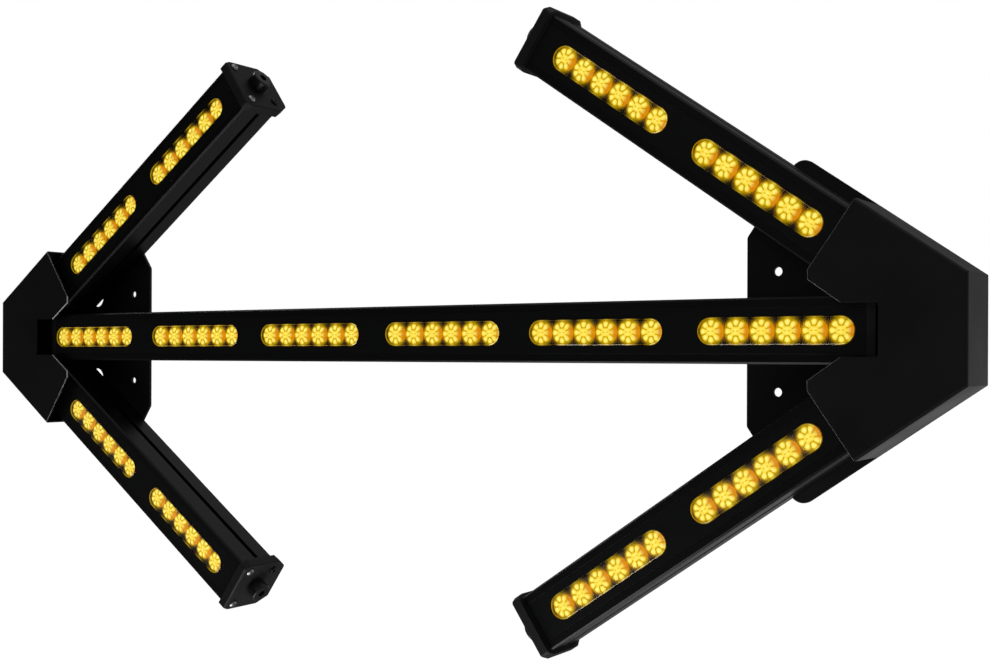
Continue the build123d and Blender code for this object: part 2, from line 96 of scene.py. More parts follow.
# how wide the eased edges are, so that they catch the light
EASED = {"bar": 0.35 * MM, "panel": 0.3 * MM, "cover": 0.5 * MM, "plate": 0.4 * MM}
SHARP_EDGE = radians(32)
MERGE_DISTANCE = 0.002 * MM
FLAT_ANGLE = radians(0.5)

HEADS = {"left": -1, "right": 1}
LEVELS = {"upper": 1, "lower": -1}


def bar_frames():
    """Each bar's name, frame on the lens plane (X along it, Y to the rear) and module stations."""
    middle = (CENTRE_MODULES - 1) / 2
    stations = [MODULE_PITCH * (i - middle) for i in range(CENTRE_MODULES)]
    yield "centre", Matrix.Translation((0, LENS_PLANE, 0)), stations
    for head, side in HEADS.items():
        for word, level in LEVELS.items():
            turn = -level * ARM_ANGLE if side < 0 else pi + level * ARM_ANGLE
            place = Matrix.Translation((side * ARM_X, LENS_PLANE, level * ARM_Z))
            yield f"{word}_{head}", place @ Matrix.Rotation(turn, 4, "Y"), [0, MODULE_PITCH]


BARS = {name: (place, stations) for name, place, stations in bar_frames()}


# ---- materials ----
def linear(hex_colour):
    """sRGB hex to linear RGBA."""
    parts = [int(hex_colour[i:i + 2], 16) / 255 for i in (1, 3, 5)]
    return [c / 12.92 if c <= 0.04045 else ((c + 0.055) / 1.055) ** 2.4 for c in parts] + [1.0]


def add(tree, kind, settings=None, links=None):
    """Add a node; settings name properties or inputs, links feed inputs from other nodes' outputs."""
    node = tree.nodes.new(kind)
    for key, value in (settings or {}).items():
        if isinstance(key, str) and hasattr(node, key):
            setattr(node, key, value)
        else:
            node.inputs[key].default_value = value
    for key, source in (links or {}).items():
        tree.links.new(source, node.inputs[key])
    return node


def new_material(name):
    material = bpy.data.materials.new(name)
    material.use_nodes = True
    material.node_tree.nodes.clear()
    tree = material.node_tree
    place = add(tree, "ShaderNodeTexCoord")
    return material, tree, place.outputs["Object"]


def finish_material(material, tree, shader, settings, links):
    surface = add(tree, shader, settings, links)
    add(tree, "ShaderNodeOutputMaterial", links={"Surface": surface.outputs[0]})
    return material


def per_metre(size_mm):
    """Noise scale whose features are about this many millimetres across."""
    return 1000 / size_mm


def mixed(tree, factor, low, high):
    """Colour between two colours by a factor output."""
    mix = add(tree, "ShaderNodeMix", {"data_type": "RGBA"}, {"Factor": factor})
    mix.inputs[6].default_value = low
    mix.inputs[7].default_value = high
    return mix.outputs[2]


def ranged(tree, value, low, high, from_low=0.3, from_high=0.7):
    return add(tree, "ShaderNodeMapRange",
               {"From Min": from_low, "From Max": from_high, "To Min": low, "To Max": high},
               {"Value": value}).outputs["Result"]


def powder_coat(name, colour, worn_colour, gloss_low, gloss_high):
    """Black polyester powder coat on steel: a fine orange peel that spreads highlights."""
    material, tree, here = new_material(name)
    peel = add(tree, "ShaderNodeTexNoise", {"Scale": per_metre(1.4), "Detail": 3.0}, {"Vector": here})
    cloud = add(tree, "ShaderNodeTexNoise", {"Scale": per_metre(60), "Detail": 2.0}, {"Vector": here})
    base = mixed(tree, ranged(tree, cloud.outputs["Fac"], 0, 1), linear(colour), linear(worn_colour))
    bump = add(tree, "ShaderNodeBump", {"Strength": 0.25, "Distance": 0.05 * MM},
               {"Height": peel.outputs["Fac"]})
    return finish_material(material, tree, "ShaderNodeBsdfPrincipled",
                           {"IOR": 1.5, "Specular IOR Level": 0.35},
                           {"Base Color": base, "Normal": bump.outputs["Normal"],
                            "Roughness": ranged(tree, cloud.outputs["Fac"], gloss_low, gloss_high)})


def anodised_aluminium(name, colour, streak_colour, gloss_low, gloss_high):
    """Black anodised aluminium extrusion: faint die lines and a soft metallic sheen."""
    material, tree, here = new_material(name)
    squeezed = add(tree, "ShaderNodeMapping", {"vector_type": "POINT", "Scale": (0.02, 1, 1)},
                   {"Vector": here})
    lines = add(tree, "ShaderNodeTexNoise", {"Scale": per_metre(2.0), "Detail": 4.0},
                {"Vector": squeezed.outputs["Vector"]})
    grain = add(tree, "ShaderNodeTexNoise", {"Scale": per_metre(0.8), "Detail": 2.0}, {"Vector": here})
    base = mixed(tree, ranged(tree, lines.outputs["Fac"], 0, 1), linear(colour), linear(streak_colour))
    bump = add(tree, "ShaderNodeBump", {"Strength": 0.12, "Distance": 0.02 * MM},
               {"Height": grain.outputs["Fac"]})
    return finish_material(material, tree, "ShaderNodeBsdfPrincipled",
                           {"Metallic": 0.2, "Specular IOR Level": 0.4},
                           {"Base Color": base, "Normal": bump.outputs["Normal"],
                            "Roughness": ranged(tree, grain.outputs["Fac"], gloss_low, gloss_high)})


def moulded_plastic(name, colour, second_colour, grain_mm, gloss_low, gloss_high):
    """Injection moulded plastic: a fine spark-eroded grain from the mould."""
    material, tree, here = new_material(name)
    grain = add(tree, "ShaderNodeTexNoise", {"Scale": per_metre(grain_mm), "Detail": 2.0},
                {"Vector": here})
    cloud = add(tree, "ShaderNodeTexNoise", {"Scale": per_metre(25), "Detail": 2.0}, {"Vector": here})
    base = mixed(tree, ranged(tree, cloud.outputs["Fac"], 0, 1), linear(colour), linear(second_colour))
    bump = add(tree, "ShaderNodeBump", {"Strength": 0.3, "Distance": 0.04 * MM},
               {"Height": grain.outputs["Fac"]})
    return finish_material(material, tree, "ShaderNodeBsdfPrincipled", {"IOR": 1.5},
                           {"Base Color": base, "Normal": bump.outputs["Normal"],
                            "Roughness": ranged(tree, grain.outputs["Fac"], gloss_low, gloss_high)})


def plated_steel(name, colour, second_colour, gloss_low, gloss_high):
    """Screw steel: bright or blackened metal with fine turning marks."""
    material, tree, here = new_material(name)
    marks = add(tree, "ShaderNodeTexNoise", {"Scale": per_metre(0.6), "Detail": 3.0}, {"Vector": here})
    base = mixed(tree, ranged(tree, marks.outputs["Fac"], 0, 1), linear(colour), linear(second_colour))
    return finish_material(material, tree, "ShaderNodeBsdfPrincipled", {"Metallic": 1.0},
                           {"Base Color": base,
                            "Roughness": ranged(tree, marks.outputs["Fac"], gloss_low, gloss_high)})


def sealing_rubber(name, colour, second_colour):
    """Moulded nitrile rubber: matt, with a dusty bloom."""
    material, tree, here = new_material(name)
    bloom = add(tree, "ShaderNodeTexNoise", {"Scale": per_metre(5), "Detail": 4.0}, {"Vector": here})
    base = mixed(tree, ranged(tree, bloom.outputs["Fac"], 0, 1), linear(colour), linear(second_colour))
    return finish_material(material, tree, "ShaderNodeBsdfPrincipled", {"IOR": 1.52},
                           {"Base Color": base,
                            "Roughness": ranged(tree, bloom.outputs["Fac"], 0.6, 0.8)})


def clear_polycarbonate(name):
    """Clear moulded polycarbonate: a glassy cover with slight flow waves and a warm tint."""
    material, tree, here = new_material(name)
    waves = add(tree, "ShaderNodeTexNoise", {"Scale": per_metre(12), "Detail": 1.0}, {"Vector": here})
    bump = add(tree, "ShaderNodeBump", {"Strength": 0.1, "Distance": 0.05 * MM},
               {"Height": waves.outputs["Fac"]})
    base = mixed(tree, ranged(tree, waves.outputs["Fac"], 0, 1), linear("#fffdf4"), linear("#fff8e4"))
    return finish_material(material, tree, "ShaderNodeBsdfPrincipled",
                           {"IOR": 1.58, "Transmission Weight": 1.0, "Roughness": 0.03},
                           {"Base Color": base, "Normal": bump.outputs["Normal"]})


def lit_optic(name, style):
    """Clear acrylic collimator over a lit amber LED: bright petals, gold gaps and an orange cheek."""
    material, tree, _ = new_material(name)
    spot = add(tree, "ShaderNodeAttribute",
               {"attribute_type": "GEOMETRY", "attribute_name": "optic_place"})
    axes = add(tree, "ShaderNodeSeparateXYZ", links={"Vector": spot.outputs["Vector"]})
    ramp = add(tree, "ShaderNodeValToRGB", links={"Fac": axes.outputs["Z"]})
    stops = [(0.0, style.rim_colour), (0.3, style.gap_colour),
             (0.65, style.petal_colour), (1.0, style.core_colour)]
    while len(ramp.color_ramp.elements) < len(stops):
        ramp.color_ramp.elements.new(0.5)
    for element, (position, colour) in zip(ramp.color_ramp.elements, stops):
        element.position = position
        element.color = [*colour, 1.0]
    # the orange cheek is a crescent on the side of each optic that X of its place points to
    side = ranged(tree, axes.outputs["X"], 0, 0.9, 0.42, 0.78)
    height = add(tree, "ShaderNodeMath", {"operation": "ABSOLUTE"}, {0: axes.outputs["Y"]})
    band = ranged(tree, height.outputs[0], 1, 0, 0.4, 0.75)
    cheek = add(tree, "ShaderNodeMath", {"operation": "MULTIPLY"}, {0: side, 1: band})
    glow = add(tree, "ShaderNodeMix", {"data_type": "RGBA"}, {"Factor": cheek.outputs[0]})
    tree.links.new(ramp.outputs["Color"], glow.inputs[6])
    glow.inputs[7].default_value = [*style.cheek_colour, 1.0]
    return finish_material(material, tree, "ShaderNodeBsdfPrincipled",
                           {"IOR": 1.49, "Roughness": 0.12, "Emission Strength": style.brightness},
                           {"Base Color": glow.outputs[2], "Emission Color": glow.outputs[2]})


def deck_with_painted_glow(name, style):
    """Black moulded acrylic deck with a painted glow: each optic's light is painted on it as an emitted
    gold ring that fades to black.
    """
    material, tree, here = new_material(name)
    cloud = add(tree, "ShaderNodeTexNoise", {"Scale": per_metre(4), "Detail": 2.0}, {"Vector": here})
    base = mixed(tree, ranged(tree, cloud.outputs["Fac"], 0, 1), linear("#0c0c08"), linear("#17150d"))
    spot = add(tree, "ShaderNodeAttribute",
               {"attribute_type": "GEOMETRY", "attribute_name": "optic_place"})
    axes = add(tree, "ShaderNodeSeparateXYZ", links={"Vector": spot.outputs["Vector"]})
    # between two optics the painted glow is orange, above and below them it is gold
    between = add(tree, "ShaderNodeMath", {"operation": "ABSOLUTE"}, {0: axes.outputs["X"]})
    hue = mixed(tree, ranged(tree, between.outputs[0], 0, 1, 0.75, 1.0), [*style.painted_glow_colour, 1.0],
                [*style.cheek_colour, 1.0])
    # painted glow: the deck emits this colour round each optic, scaled by the stored strength
    painted_glow = add(tree, "ShaderNodeVectorMath", {"operation": "SCALE"}, {0: hue, "Scale": axes.outputs["Z"]})
    return finish_material(material, tree, "ShaderNodeBsdfPrincipled",
                           {"IOR": 1.49, "Emission Strength": style.brightness},
                           {"Base Color": base, "Emission Color": painted_glow.outputs[0],
                            "Roughness": ranged(tree, cloud.outputs["Fac"], 0.12, 0.22)})


# ---- mesh helpers ----
def mesh_object(name, mesh):
    thing = bpy.data.objects.new(name, mesh)
    bpy.context.scene.collection.objects.link(thing)
    return thing


def mesh_from(bm, name):
    mesh = bpy.data.meshes.new(name)
    bm.to_mesh(mesh)
    bm.free()
    return mesh


def plain_copy(thing, name):
    """The evaluated shape of an object, modifiers applied, as a new object."""
    depsgraph = bpy.context.evaluated_depsgraph_get()
    mesh = bpy.data.meshes.new_from_object(thing.evaluated_get(depsgraph), depsgraph=depsgraph)
    mesh.name = name
    return mesh_object(name, mesh)


def remove(*things):
    for thing in things:
        bpy.data.objects.remove(thing)


def softened_copy(node, name, finish):
    """A CAD node's shape with its sharp edges eased, in one of the finishes."""
    bm = bmesh.new()
    bm.from_mesh(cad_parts[node].data)
    bmesh.ops.remove_doubles(bm, verts=bm.verts, dist=MERGE_DISTANCE)
    bmesh.ops.dissolve_limit(bm, angle_limit=FLAT_ANGLE, verts=bm.verts, edges=bm.edges)
    sharp = mesh_object(name + "_sharp", mesh_from(bm, name))
    ease = sharp.modifiers.new("eased edges", "BEVEL")
    ease.width = EASED[finish]
    ease.segments = 2
    ease.limit_method = "ANGLE"
    ease.angle_limit = SHARP_EDGE
    ease.use_clamp_overlap = True
    piece = plain_copy(sharp, name)
    remove(sharp)
    piece.data.materials.clear()
    piece.data.materials.append(MATERIALS[finish])
    for polygon in piece.data.polygons:
        polygon.use_smooth = False
    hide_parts(node)
    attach(piece, "root")
    return piece


def paint_edge_highlights(cover, side):
    """Paint a pale highlight on the sheared front edges of a head cover that face the middle of the arrow.
    """
    cover.data.materials.append(MATERIALS["painted_edge_highlight"])
    verts = cover.data.vertices
    sheet_back = min(vert.co.y for vert in verts) + SHEET * 1.1
    for polygon in cover.data.polygons:
        inward = polygon.normal.x * side < -0.05 and abs(polygon.normal.y) < 0.97
        in_sheet = max(verts[i].co.y for i in polygon.vertices) < sheet_back
        beside_notch = abs(polygon.center.z) < NOTCH_HALF
        if inward and in_sheet and not beside_notch:
            # painted highlight: these edge faces get a pale coat in place of the black powder coat
            polygon.material_index = 1


def dress(node, material):
    """Give a CAD node a finish."""
    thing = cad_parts[node]
    thing.data.materials.clear()
    thing.data.materials.append(material)


# ---- geometry node trees ----
def new_group(name, inputs):
    """A geometry group with named inputs: (name, socket type, default)."""
    group = bpy.data.node_groups.new(name, "GeometryNodeTree")
    group.interface.new_socket("Geometry", in_out="INPUT", socket_type="NodeSocketGeometry")
    for label, kind, default in inputs:
        socket = group.interface.new_socket(label, in_out="INPUT", socket_type=kind)
        if default is not None:
            socket.default_value = default
    group.interface.new_socket("Geometry", in_out="OUTPUT", socket_type="NodeSocketGeometry")
    entry = group.nodes.new("NodeGroupInput")
    exit_node = group.nodes.new("NodeGroupOutput")
    return group, entry, exit_node


def finish_group(group, instances, entry, exit_node):
    """End a tree: make the instances real and give them the finish."""
    real = add(group, "GeometryNodeRealizeInstances", links={"Geometry": instances.outputs["Instances"]})
    finish = add(group, "GeometryNodeSetMaterial",
                 links={"Geometry": real.outputs["Geometry"], "Material": entry.outputs["Finish"]})
    group.links.new(finish.outputs["Geometry"], exit_node.inputs["Geometry"])
    return group


def module_row_group():
    """One shape, repeated evenly in every module of a bar."""
    group, entry, exit_node = new_group("module row", [
        ("Shape", "NodeSocketObject", None),
        ("Repeats", "NodeSocketInt", OPTICS_PER_MODULE),
        ("Spacing", "NodeSocketFloat", OPTIC_PITCH),
        ("Modules", "NodeSocketInt", 2),
        ("Module spacing", "NodeSocketFloat", MODULE_PITCH),
        ("First module", "NodeSocketFloat", 0.0),
        ("Finish", "NodeSocketMaterial", None),
    ])

    def line(count, spacing, start):
        step = add(group, "ShaderNodeCombineXYZ", links={"X": spacing})
        origin = add(group, "ShaderNodeCombineXYZ", links={"X": start})
        row = add(group, "GeometryNodeMeshLine",
                  links={"Count": count, "Offset": step.outputs[0], "Start Location": origin.outputs[0]})
        return row.outputs["Mesh"]

    given = entry.outputs
    gaps = add(group, "ShaderNodeMath", {"operation": "SUBTRACT", 1: 1.0}, {0: given["Repeats"]})
    span = add(group, "ShaderNodeMath", {"operation": "MULTIPLY"},
               {0: gaps.outputs[0], 1: given["Spacing"]})
    first = add(group, "ShaderNodeMath", {"operation": "MULTIPLY", 1: -0.5}, {0: span.outputs[0]})
    shape = add(group, "GeometryNodeObjectInfo", links={"Object": given["Shape"]})
    inner = add(group, "GeometryNodeInstanceOnPoints",
                links={"Points": line(given["Repeats"], given["Spacing"], first.outputs[0]),
                       "Instance": shape.outputs["Geometry"]})
    outer = add(group, "GeometryNodeInstanceOnPoints",
                links={"Points": line(given["Modules"], given["Module spacing"], given["First module"]),
                       "Instance": inner.outputs["Instances"]})
    return finish_group(group, outer, entry, exit_node)


def scatter_group():
    """One shape at every vertex of a carrier mesh, turned by the carrier's stored turn."""
    group, entry, exit_node = new_group("shape at points", [
        ("Shape", "NodeSocketObject", None),
        ("Finish", "NodeSocketMaterial", None),
    ])
    turn = add(group, "GeometryNodeInputNamedAttribute", {"data_type": "FLOAT_VECTOR"})
    turn.inputs["Name"].default_value = "turn"
    shape = add(group, "GeometryNodeObjectInfo", links={"Object": entry.outputs["Shape"]})
    placed = add(group, "GeometryNodeInstanceOnPoints",
                 links={"Points": entry.outputs["Geometry"], "Instance": shape.outputs["Geometry"],
                        "Rotation": turn.outputs["Attribute"]})
    return finish_group(group, placed, entry, exit_node)


def run_group(group, values, name, place=None, carrier=None):
    """Evaluate a tree with its named inputs set, and return the plain mesh piece, put in place."""
    host = carrier or mesh_object(name + "_host", bpy.data.meshes.new(name + "_host"))
    modifier = host.modifiers.new("nodes", "NODES")
    modifier.node_group = group
    sockets = {item.name: item.identifier for item in group.interface.items_tree
               if item.item_type == "SOCKET" and item.in_out == "INPUT"}
    for label, value in values.items():
        modifier[sockets[label]] = value
    piece = plain_copy(host, name)
    remove(host)
    if place is not None:
        piece.data.transform(place)
    return piece


def carrier_of(name, places):
    """Vertices carrying a stored turn, one per placement matrix."""
    mesh = bpy.data.meshes.new(name)
    mesh.from_pydata([place.translation for place in places], [], [])
    turns = mesh.attributes.new("turn", "FLOAT_VECTOR", "POINT")
    for item, place in zip(turns.data, places):
        item.vector = place.to_euler("XYZ")
    return mesh_object(name, mesh)


# ---- one optic ----
RIM_SHINE = 0.25            # brightness of an optic's outer ring and of its darkest seams
SEAM_START = 0.42           # where the seams between petals begin; radii here are parts of the optic's
SEAM_WIDTH = 0.05
PETAL_PEAK = 0.68           # where a petal is brightest, and how far that brightness spreads
PETAL_SPREAD = (0.2, 0.17)
CORE_SPREAD = 0.3
DASH_HEIGHT = 0.38          # the short dark dashes lie on the middle line and this far from it
DASH_HALF_LENGTH = 0.22
PETAL_TIP = 0.97
TIP_FADE = 0.14


def hump(distance, width):
    """A soft bump: 1 at no distance, near 0 beyond twice its width."""
    return exp(-((distance / width) ** 2))


def petal_shine(r, angle, petals):
    """Brightness at a point of an optic's front: petals with dark seams round a bright core."""
    half = pi * r / petals
    turn = petals * angle / (2 * pi)
    off = 2 * half * abs(turn - round(turn))
    seam = hump(half - off, SEAM_WIDTH) if r > SEAM_START else 0.0
    petal = hump(r - PETAL_PEAK, PETAL_SPREAD[0]) * hump(off, PETAL_SPREAD[1])
    spot = petal + 0.7 * hump(r, CORE_SPREAD)
    height = abs(r * sin(angle))
    near_dash = abs(r * cos(angle)) < DASH_HALF_LENGTH
    dash = hump(min(height, abs(height - DASH_HEIGHT)), SEAM_WIDTH) if near_dash else 0.0
    fade = min(1, max(0, (PETAL_TIP - 1.2 * off * off - r) / TIP_FADE))
    shine = max(RIM_SHINE, min(1, 0.60 + 0.50 * spot - 0.48 * seam - 0.5 * dash))
    return shine * fade + RIM_SHINE * (1 - fade)


SIDE_SHINE = 0.3            # brightness of an optic's side and back
TAIL_RADIUS = 0.41          # of an optic's back end
RELIEF_END = 0.9            # the petals stand out as far as this


def optic_mesh(style, cheek_side):
    """Collimator with a conical back; cheek_side says which way along the bar its orange side faces."""
    radius, rings, spokes = style.optic_radius, 14, 64
    bm = bmesh.new()
    spot = bm.verts.layers.float_vector.new("optic_place")

    def put(r, depth, angle, shine):
        vert = bm.verts.new((radius * r * cos(angle), depth, radius * r * sin(angle)))
        vert[spot] = (cheek_side * r * cos(angle), r * sin(angle), shine)
        return vert

    loops = []
    for i in range(1, rings + 1):
        r = i / rings
        loop = []
        for j in range(spokes):
            angle = 2 * pi * (j + 0.5) / spokes
            shine = petal_shine(r, angle, style.petals)
            relief = style.petal_height * shine if r < RELIEF_END else 0.0
            crown = style.optic_front + style.optic_rise * r * r - relief
            loop.append(put(r, crown, angle, shine))
        loops.append(loop)
    turns = [2 * pi * (j + 0.5) / spokes for j in range(spokes)]
    deck = [put(1.0, style.deck_depth, angle, SIDE_SHINE) for angle in turns]
    tail = [put(TAIL_RADIUS, style.optic_back, angle, SIDE_SHINE) for angle in turns]
    loops += [deck, tail]
    front = put(0, style.optic_front - style.petal_height, 0, 1.0)
    back = put(0, style.optic_back, 0, SIDE_SHINE)
    for j in range(spokes):
        k = (j + 1) % spokes
        bm.faces.new((front, loops[0][j], loops[0][k]))
        for inner, outer in zip(loops, loops[1:]):
            bm.faces.new((inner[j], outer[j], outer[k], inner[k]))
        bm.faces.new((tail[j], back, tail[k]))
    bmesh.ops.recalc_face_normals(bm, faces=bm.faces)
    mesh = mesh_from(bm, "optic")
    mesh.shade_smooth()
    return mesh


def flute_mesh(length, width, height, depth):
    """A single flute: a low three-sided ridge across the window."""
    bm = bmesh.new()
    ends = []
    for z in (-length / 2, length / 2):
        ends.append([bm.verts.new((x, y, z)) for x, y in
                     ((-width / 2, depth), (0, depth - height), (width / 2, depth))])
    for a in range(3):
        b = (a + 1) % 3
        bm.faces.new((ends[0][a], ends[0][b], ends[1][b], ends[1][a]))
    bm.faces.new(ends[0])
    bm.faces.new(reversed(ends[1]))
    bmesh.ops.recalc_face_normals(bm, faces=bm.faces)
    return mesh_from(bm, "flute")


def deck_cell_mesh(style, length, height, thickness):
    """The deck round one optic, a closed slab; its stored place gives the strength of the glow painted on
    it.
    """
    across, up = DECK_CELLS
    bm = bmesh.new()
    spot = bm.verts.layers.float_vector.new("optic_place")

    def put(i, j, depth):
        x, z = length * (i / across - 0.5), height * (j / up - 0.5)
        # strength of the glow painted round the optic, fading out with distance from its middle
        painted_glow = (style.painted_glow_reach - hypot(x, z)) / (style.painted_glow_reach - style.optic_radius)
        vert = bm.verts.new((x, depth, z))
        vert[spot] = (x / style.optic_radius, z / style.optic_radius, min(1, max(0, painted_glow)) ** 1.5)
        return vert

    front, back = ([[put(i, j, depth) for j in range(up + 1)] for i in range(across + 1)]
                   for depth in (style.deck_depth, style.deck_depth + thickness))
    for i in range(across):
        for j in range(up):
            for sheet in (front, back):
                bm.faces.new((sheet[i][j], sheet[i + 1][j], sheet[i + 1][j + 1], sheet[i][j + 1]))
    rim = [(i, 0) for i in range(across)] + [(across, j) for j in range(up)]
    rim += [(i, up) for i in range(across, 0, -1)] + [(0, j) for j in range(up, 0, -1)]
    for (i, j), (k, m) in zip(rim, rim[1:] + rim[:1]):
        bm.faces.new((front[i][j], front[k][m], back[k][m], back[i][j]))
    bmesh.ops.recalc_face_normals(bm, faces=bm.faces)
    return mesh_from(bm, "deck_cell")


def button_head_mesh(radius, height, socket, socket_depth, shank_radius, shank_length):
    """Button-head socket screw along +X, its head resting on x = 0, as one closed turned shape."""
    sides = 24
    floor = height - socket_depth
    # x, radius, and whether the ring is the socket's hexagon
    profile = [(floor, 0.0, True), (floor, socket, True), (height, socket, True),
               (height, radius * 0.62, False), (height * 0.8, radius * 0.84, False),
               (height * 0.42, radius, False), (0.0, radius, False), (0.0, shank_radius, False),
               (-shank_length, shank_radius, False), (-shank_length, 0.0, False)]
    bm = bmesh.new()
    rings = []
    for along, reach, hexagonal in profile:
        ring = []
        for j in range(sides if reach else 1):
            angle = 2 * pi * j / sides
            bulge = reach / cos((angle + pi / 6) % (pi / 3) - pi / 6) if hexagonal else reach
            ring.append(bm.verts.new((along, bulge * cos(angle), bulge * sin(angle))))
        rings.append(ring)
    for inner, outer in zip(rings, rings[1:]):
        for j in range(sides):
            k = (j + 1) % sides
            corners = [inner[j % len(inner)], outer[j % len(outer)],
                       outer[k % len(outer)], inner[k % len(inner)]]
            bm.faces.new(list(dict.fromkeys(corners)))
    bmesh.ops.recalc_face_normals(bm, faces=bm.faces)
    return mesh_from(bm, "button_head")


# ---- settings ----
class ArrowLampStyle(bpy.types.PropertyGroup):
    optic_radius: FloatProperty(name="Optic radius", description="Radius of one collimator",
                                default=9.6 * MM, subtype="DISTANCE", unit="LENGTH")
    optic_front: FloatProperty(name="Optic front",
                               description="Depth of an optic's front behind the lens plane",
                               default=2.3 * MM, subtype="DISTANCE", unit="LENGTH")
    optic_rise: FloatProperty(name="Optic crown",
                              description="How far an optic's rim lies behind its middle",
                              default=1.2 * MM, subtype="DISTANCE", unit="LENGTH")
    optic_back: FloatProperty(name="Optic back", description="Depth of the rear of an optic",
                              default=12.9 * MM, subtype="DISTANCE", unit="LENGTH")
    deck_depth: FloatProperty(name="Deck depth", description="Depth of the fluted deck round the optics",
                              default=4.5 * MM, subtype="DISTANCE", unit="LENGTH")
    petal_height: FloatProperty(name="Petal height", description="How far the petals stand out",
                                default=0.45 * MM, subtype="DISTANCE", unit="LENGTH")
    petals: IntProperty(name="Petals", description="Facets round each optic", default=8, min=3, max=16)
    flute_spacing: FloatProperty(name="Flute spacing", description="Spacing of the fine flutes",
                                 default=1.6 * MM, subtype="DISTANCE", unit="LENGTH")
    brightness: FloatProperty(name="Brightness", description="Strength of the lit optics",
                              default=1.0, min=0)
    core_colour: FloatVectorProperty(name="Core colour", description="Brightest part of an optic",
                                     subtype="COLOR", size=3, default=linear("#fffa8c")[:3])
    petal_colour: FloatVectorProperty(name="Petal colour", description="Bright petals",
                                      subtype="COLOR", size=3, default=linear("#f6d83a")[:3])
    gap_colour: FloatVectorProperty(name="Gap colour", description="Between the petals",
                                    subtype="COLOR", size=3, default=linear("#b39300")[:3])
    rim_colour: FloatVectorProperty(name="Rim colour", description="Outer ring of an optic",
                                    subtype="COLOR", size=3, default=linear("#6a4c00")[:3])
    cheek_colour: FloatVectorProperty(name="Cheek colour", description="Orange side of an optic",
                                      subtype="COLOR", size=3, default=linear("#d48600")[:3])
    # colour and reach of the glow painted on the deck round the optics
    painted_glow_colour: FloatVectorProperty(name="Painted glow colour", description="Light that leaks into the deck",
                                     subtype="COLOR", size=3, default=linear("#a58600")[:3])
    painted_glow_reach: FloatProperty(name="Painted glow reach",
                              description="How far from an optic's middle its light leaks",
                              default=12.2 * MM, subtype="DISTANCE", unit="LENGTH")


class ArrowStageStyle(bpy.types.PropertyGroup):
    floor_drop: FloatProperty(name="Floor drop", description="How far the floor is below the object",
                              default=0.75, subtype="DISTANCE", unit="LENGTH")
    front_light: FloatProperty(name="Front light", description="Brightness of the room on the lamps' side",
                               default=0.07, min=0)
    back_light: FloatProperty(name="Back light", description="Brightness of the room behind",
                              default=0.22, min=0)
    sky_light: FloatProperty(name="Overhead light", description="Brightness added overhead",
                             default=0.3, min=0)
    floor_light: FloatProperty(name="Floor light", description="Brightness of the lit floor",
                               default=0.4, min=0)
    key_power: FloatProperty(name="Key light", description="Power of the large front light",
                             default=2.5, subtype="POWER", unit="POWER")
    under_power: FloatProperty(name="Under light", description="Power of the light on the lower edges",
                               default=6.0, subtype="POWER", unit="POWER")
    left_power: FloatProperty(name="Left light", description="Power of the light from the upper left",
                              default=8.0, subtype="POWER", unit="POWER")
    low_power: FloatProperty(name="Low side light", description="Power of the light from the lower right",
                             default=2.8, subtype="POWER", unit="POWER")
    top_power: FloatProperty(name="Top light", description="Power of the light from above",
                             default=1.2, subtype="POWER", unit="POWER")
    camera_place: FloatVectorProperty(name="Camera", description="Where the camera stands",
                                      subtype="TRANSLATION", unit="LENGTH", size=3,
                                      default=(0.734, -0.9475, -0.020))
    camera_turn: FloatVectorProperty(name="Camera turn", description="Camera rotation",
                                     subtype="EULER", size=3,
                                     default=(radians(89.93), radians(-0.20), radians(33.81)))
    camera_lens: FloatProperty(name="Lens", description="Focal length in millimetres", default=47.38)
    camera_shift: FloatVectorProperty(name="Shift", description="Sideways and upward shift of the frame",
                                      size=2, default=(0.0017, 0.0291))


def lamp_style():
    return bpy.context.scene.arrow_lamp_style


def stage_style():
    return bpy.context.scene.arrow_stage_style


MATERIALS = {}


def make_materials():
    style = lamp_style()
    MATERIALS.update({
        "bar": anodised_aluminium("black anodised aluminium extrusion", "#090a0b", "#0d0e0f", 0.30, 0.42),
        "panel": anodised_aluminium("black anodised aluminium face", "#0d0e0f", "#121314", 0.32, 0.45),
        "cover": powder_coat("black powder-coated steel cover", "#131514", "#181a19", 0.36, 0.48),
        # painted highlight: a pale coat for the covers' inward cut edges, where they catch the light
        "painted_edge_highlight": powder_coat("pale painted highlight on cover cut edges", "#b9bbbd", "#d9dadb", 0.3, 0.45),
        "plate": powder_coat("black powder-coated steel plate", "#141515", "#181919", 0.42, 0.55),
        "cap": moulded_plastic("black glass-filled nylon end cap", "#050505", "#080808", 0.9, 0.6, 0.75),
        "inner_cap": moulded_plastic("black nylon inner cap", "#070708", "#0b0b0c", 0.9, 0.5, 0.65),
        "fitting": moulded_plastic("black nylon fitting", "#0a0a0b", "#0f1010", 0.7, 0.3, 0.42),
        "case": moulded_plastic("dark grey ABS case", "#2b2c2e", "#353638", 1.0, 0.45, 0.6),
        "bright_screw": plated_steel("stainless steel screw", "#a9abad", "#c4c6c8", 0.22, 0.34),
        # black finish of the fasteners, also used as painted shade on the rear cap screws
        "black_screw_and_painted_shade": plated_steel("black zinc-plated screw and painted shade", "#2a2b2d", "#3a3b3e", 0.32, 0.45),
        "rubber": sealing_rubber("nitrile rubber seal", "#141414", "#1d1d1e"),
        "sheath": sealing_rubber("rubber cable sheath", "#161617", "#202021"),
        "lens": clear_polycarbonate("clear moulded polycarbonate lens"),
        "optic": lit_optic("clear acrylic optic over a lit amber LED", style),
        "deck": deck_with_painted_glow("black moulded acrylic deck with painted glow", style),
        # painted highlight: the clear flutes get a pale grey colour that stands in for the glints they
        # catch
        "flute": moulded_plastic("clear acrylic flute painted pale", "#8d8c80", "#b4b2a4", 0.8, 0.12, 0.25),
        "board": moulded_plastic("glass-epoxy circuit board", "#e9e4d2", "#d9d2ba", 0.8, 0.4, 0.55),
    })


